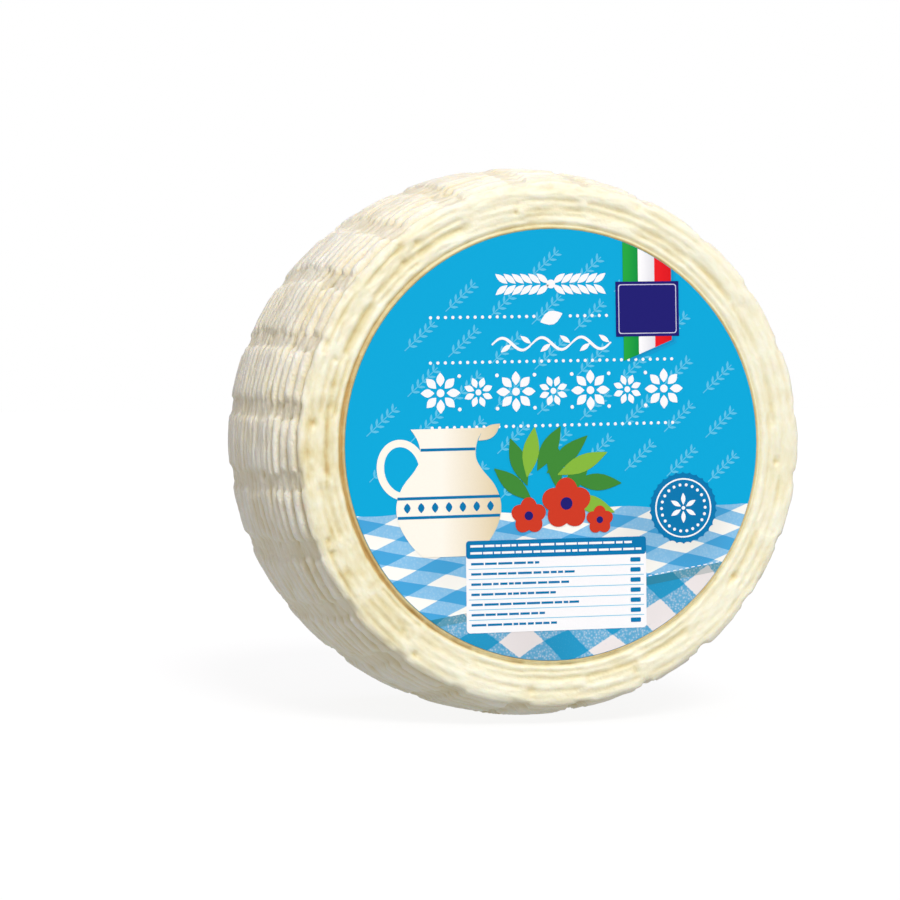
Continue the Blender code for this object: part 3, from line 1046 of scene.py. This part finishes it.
seal = bmesh.new()
made = bmesh.ops.create_circle(seal, cap_ends=True, segments=SCALLOPS * 8, radius=1)
for number, vert in enumerate(made["verts"]):
    vert.co *= 1 - SCALLOP_DEPTH * abs(math.sin(number * math.pi / 8)) ** 0.7
spread(seal, made["verts"], *SEAL, SEAL_RADIUS, SEAL_RADIUS)
finish_layer("seal_field", seal, 2, deep_blue)
one_shape_layer("seal_ring", 3, white_ink, add_round, *SEAL, 9.5, corners=72)
one_shape_layer("seal_middle", 4, deep_blue, add_round, *SEAL, 9.0, corners=72)
marks = bmesh.new()
for number in range(SEAL_DOTS):
    add_round(marks, *turned_place(SEAL, number * 360 / SEAL_DOTS, DOT_CIRCLE), 0.5, corners=12)
for petal in range(6):
    turn = petal * 60 + 30
    add_leaf(marks, *turned_place(SEAL, turn, 2.9), 1.9, 0.75, turn)
add_round(marks, *SEAL, 0.6, corners=16)
finish_layer("seal_marks", marks, 5, white_ink)

# %% [markdown]
# ## Table
# A white panel with ruled lines sits at the bottom, where a pack lists what is in it. Short strokes
# of seeded random length stand where its words would be. At this size the eye takes them for text.

# %% Table with strokes in place of words
TABLE = (0.0, -44.0)
TABLE_HALF = (29.8, 14.5)
TABLE_TURN = -0.4
TEXT_START = -28.2
STROKE_HALF = 0.36
HEADER_HALF = 2.8
LINES = 7
LINE_STEP = 3.2


def on_table(x, y):
    """A point of the turned table, from its middle, in label millimetres."""
    return turned_place(TABLE, TABLE_TURN, x, y)


def add_strokes(ink, first_x, last_x, y, source):
    """A row of short strokes of uneven length, from first_x to last_x."""
    x = first_x
    while x < last_x - 1.2:
        half = min(source.uniform(0.7, 2.4), (last_x - x) / 2)
        add_bar(ink, *on_table(x + half, y), half, STROKE_HALF, TABLE_TURN)
        x += 2 * half + source.uniform(0.35, 0.6)


header_middle = on_table(0, TABLE_HALF[1] - HEADER_HALF)
header_half = (TABLE_HALF[0], HEADER_HALF)
one_shape_layer("table_panel", 5, white_ink, add_bar, *TABLE, *TABLE_HALF, TABLE_TURN, 1.2)
one_shape_layer("table_header", 6, deep_blue, add_bar, *header_middle, *header_half, TABLE_TURN, 1.0)
source = np.random.default_rng(5)
header_strokes = bmesh.new()
add_strokes(header_strokes, TEXT_START - 0.2, 25.0, TABLE_HALF[1] - 1.7, source)
add_strokes(header_strokes, TEXT_START - 0.2, 28.2, TABLE_HALF[1] - 3.9, source)
finish_layer("table_header_strokes", header_strokes, 7, white_ink)
lines = bmesh.new()
strokes = bmesh.new()
line_ends = source.uniform(-8, 12, LINES)
for number in range(LINES):
    y = TABLE_HALF[1] - 2 * HEADER_HALF - 1.7 - number * LINE_STEP
    if number < LINES - 1:
        add_bar(lines, *on_table(0, y - LINE_STEP / 2), TABLE_HALF[0] - 0.8, 0.1, TABLE_TURN)
    add_strokes(strokes, TEXT_START, line_ends[number], y, source)
    add_bar(strokes, *on_table(26.2, y), 1.7, 0.7, TABLE_TURN, 0.3)
finish_layer("table_lines", lines, 6, pale_blue)
finish_layer("table_strokes", strokes, 6, deep_blue)

# %% [markdown]
# ## A still life for the cloth
# Beside the table stands a simple still life in flat colours: a cream jug in front of leaves, with
# three poppies. The jug's outline is half a profile, mirrored and filled, as a potter would turn
# it. A smooth curve through a few points of the profile saves typing many.

# %% Jug
JUG = (-35.0, -34.0)
JUG_PROFILE = (
    (8.5, 0), (12.5, 4), (16.0, 10), (17.0, 16), (15.0, 22), (11.0, 27), (9.0, 31), (9.6, 36), (12.0, 40),
)
JUG_STEPS = 5
HANDLE = (JUG[0] - 15.0, JUG[1] + 27.5)
HANDLE_TURN = 12


def smooth_profile(profile, steps):
    """A smooth curve through the points of a half profile. Its neighbours bend each stretch."""
    ends = np.array((profile[0], *profile, profile[-1]), dtype=float)
    curve = []
    for before, first, second, after in zip(ends, ends[1:], ends[2:], ends[3:]):
        for step in range(steps):
            t = step / steps
            slope = (second - before) * t
            bend = (2 * before - 5 * first + 4 * second - after) * t ** 2
            twist = (3 * first - before - 3 * second + after) * t ** 3
            curve.append(first + 0.5 * (slope + bend + twist))
    return curve + [ends[-1]]


cream = printed_ink("coated_paper_cream_ink", "#fdf8ea", "#e2cfa6", JUG[0] - 2, JUG[0] + 17)
jug = bmesh.new()
half_line = smooth_profile(JUG_PROFILE, JUG_STEPS)
outline = [jug.verts.new((JUG[0] + x, JUG[1] + y, 0)) for x, y in half_line]
outline += [jug.verts.new((JUG[0] - x, JUG[1] + y, 0)) for x, y in reversed(half_line)]
jug.faces.new(outline)
add_leaf(jug, JUG[0] + 13.5, JUG[1] + 38.6, 4.4, 1.9, 35, corners=24)
finish_layer("picture_jug", jug, 5, cream)
one_shape_layer("picture_handle", 3, cream, add_round, *HANDLE, 8.0, 9.5, HANDLE_TURN, corners=48)
one_shape_layer("picture_handle_hole", 4, sky_blue, add_round, *HANDLE, 5.6, 7.2, HANDLE_TURN, corners=48)
bands = bmesh.new()
for y, half in ((33.5, 8.9), (12.5, 16.6), (18.5, 16.6)):
    add_bar(bands, JUG[0], JUG[1] + y, half, 0.45)
for number in range(7):
    add_leaf(bands, JUG[0] - 13.5 + 4.5 * number, JUG[1] + 15.5, 1.6, 1.1, 90, corners=12)
finish_layer("picture_jug_bands", bands, 6, deep_blue)

# %% [markdown]
# ## Leaves and poppies
# The leaves are pinched circles that fan out from behind the table, every third one in a lighter
# green. A poppy is five overlapping ovals round a dark heart. Each colour is one layer.

# %% Leaves and poppies
# where a leaf's middle lies, its half length and its turn
LEAVES = (
    (-12, -5, 8, 110), (-8, -2, 8, 80), (-2, -1, 8, 60), (4, -3, 9, 40), (9, -6, 9, 22), (14, -12, 8, -4),
    (-14, -12, 8, 140), (12, -19, 8, -20), (0, -6, 8, 95), (7, -10, 8, 55),
)
LEAF_HALF_WIDTH = 2.7
# where a poppy's middle lies, and its size
POPPIES = ((3.5, -18.5, 7.6), (-9.0, -22.0, 5.4), (14.5, -24.0, 4.2))
PETALS = 5

leaf_green = printed_ink("coated_paper_leaf_ink", "#3f8a35")
lime = printed_ink("coated_paper_lime_ink", "#86b93c")
leaves = bmesh.new()
lights = bmesh.new()
for number, (x, y, half, turn) in enumerate(LEAVES):
    add_leaf(lights if number % 3 == 1 else leaves, x, y, half, LEAF_HALF_WIDTH, turn, corners=24)
finish_layer("picture_leaves", leaves, 5, leaf_green)
finish_layer("picture_light_leaves", lights, 6, lime)
poppy_red = printed_ink("coated_paper_poppy_ink", "#cf3a22")
poppies = bmesh.new()
hearts = bmesh.new()
for x, y, size in POPPIES:
    for petal in range(PETALS):
        turn = petal * 360 / PETALS + 18
        add_round(poppies, *turned_place((x, y), turn, 0.5 * size), 0.58 * size, 0.5 * size, turn)
    add_round(hearts, x, y, 0.26 * size)
finish_layer("picture_poppies", poppies, 7, poppy_red)
finish_layer("picture_hearts", hearts, 8, navy)

# %% [markdown]
# ## Floor
# The stage is a plain white floor. It takes only a faint shadow, as lit white acrylic does, because
# it glows a little, which also lights the wheel's underside. For the camera it glows more, so that
# it melts into the white background.

# %% Floor
FLOOR_HALF = 6.0
FLOOR_DROP = 0.1
FLOOR_ALBEDO = 0.14
FLOOR_GLOW = 0.47
FLOOR_LIFT = 0.405

floor_mesh = bmesh.new()
bmesh.ops.create_grid(floor_mesh, x_segments=1, y_segments=1, size=FLOOR_HALF)
bmesh.ops.translate(floor_mesh, verts=floor_mesh.verts[:], vec=(0, 0, -FLOOR_DROP * MM))
mesh = bpy.data.meshes.new("floor")
floor_mesh.to_mesh(mesh)
floor_mesh.free()
floor = add_object("floor", mesh)
paint, tree, shader = new_material("lit_white_acrylic_floor")
seen = add_node(tree, "ShaderNodeLightPath").outputs["Is Camera Ray"]
fill_sockets(
    shader, Base_Color=(FLOOR_ALBEDO, FLOOR_ALBEDO, FLOOR_ALBEDO, 1), Roughness=0.9,
    Specular_IOR_Level=0.0, Emission_Color=(1, 1, 1, 1),
    Emission_Strength=add_maths(tree, "MULTIPLY_ADD", seen, FLOOR_GLOW, FLOOR_LIFT),
)
mesh.materials.append(paint)
print("floor", 2 * FLOOR_HALF, "m across")

# %% [markdown]
# ## Light
# The key light is a soft sun straight in front of the label and 39 degrees up, so the front face is
# bright and every ridge of the rim has a shaded side. The sky fills the shadows. It is bright above
# and dark near the floor, which makes the left flank greyer. The camera sees it pure white.

# %% Sun and sky
KEY_AZIMUTH = -2
KEY_HEIGHT = 39
KEY_STRENGTH = 2.22
KEY_SOFTNESS = 18
SKY_LOW = 0.16
SKY_HIGH = 0.82


def direction(azimuth, height):
    """The way to a place at an azimuth, in degrees from -Y towards X, and a height in degrees."""
    turn, rise = math.radians(azimuth), math.radians(height)
    return Vector((math.sin(turn) * math.cos(rise), -math.cos(turn) * math.cos(rise), math.sin(rise)))


sun = bpy.data.lights.new("key", "SUN")
sun.energy = KEY_STRENGTH
sun.angle = math.radians(KEY_SOFTNESS)
key = add_object("key", sun)
key.rotation_mode = "QUATERNION"
key.rotation_quaternion = direction(KEY_AZIMUTH, KEY_HEIGHT).to_track_quat("Z", "Y")

world = bpy.data.worlds.new("white_room")
bpy.context.scene.world = world
world.use_nodes = True
tree = world.node_tree
seen = add_node(tree, "ShaderNodeLightPath").outputs["Is Camera Ray"]
sky_place = add_node(tree, "ShaderNodeTexCoord").outputs["Generated"]
upwards = add_node(tree, "ShaderNodeSeparateXYZ", Vector=sky_place)
sky = add_range(tree, upwards.outputs["Z"], To_Min=SKY_LOW, To_Max=SKY_HIGH)
glow = add_node(tree, "ShaderNodeMix", {"data_type": "FLOAT"}, Factor=seen, A=sky, B=1.0)
tint = add_node(
    tree, "ShaderNodeMix", {"data_type": "RGBA"}, Factor=seen, A=linear("#fff8ff"), B=(1, 1, 1, 1),
)
fill_sockets(tree.nodes["Background"], Color=tint.outputs["Result"], Strength=glow.outputs[0])
bpy.context.scene.view_settings.view_transform = "Standard"
print("sun at", KEY_AZIMUTH, "degrees and", KEY_HEIGHT, "up; sky from", SKY_LOW, "to", SKY_HIGH)

# %% [markdown]
# ## Camera
# The camera stands about a metre away at the photograph's angle, low and to the left of the label.
# Its focal length is written in pixels, as camera fitting gives it, and turned into millimetres for
# Blender. It aims beside the wheel, so that the wheel lies where it lies in the photograph.

# %% Camera
CAMERA_AZIMUTH = -16.94
CAMERA_ELEVATION = 1.49
CAMERA_DISTANCE = 0.99
FOCAL_PIXELS = 2982
IMAGE_SIDE = 900
WHEEL_PIXEL = (506.2, 440.9)
SENSOR = 36

lens = bpy.data.cameras.new("camera")
lens.sensor_width = SENSOR
lens.lens = FOCAL_PIXELS * SENSOR / IMAGE_SIDE
camera = add_object("camera", lens)
back = direction(CAMERA_AZIMUTH, CAMERA_ELEVATION)
right = direction(CAMERA_AZIMUTH + 90, 0)
up = right.cross(-back)
wheel_centre = Vector((0, 0, AXIS_HEIGHT * MM))
aside = (WHEEL_PIXEL[0] - IMAGE_SIDE / 2) / FOCAL_PIXELS * CAMERA_DISTANCE
above = (IMAGE_SIDE / 2 - WHEEL_PIXEL[1]) / FOCAL_PIXELS * CAMERA_DISTANCE
camera.location = wheel_centre + back * CAMERA_DISTANCE
aim = wheel_centre - right * aside - up * above - camera.location
camera.rotation_mode = "QUATERNION"
camera.rotation_quaternion = aim.to_track_quat("-Z", "Y")
bpy.context.scene.camera = camera
print("lens", round(lens.lens, 1), "mm, camera", [round(c, 3) for c in camera.location])
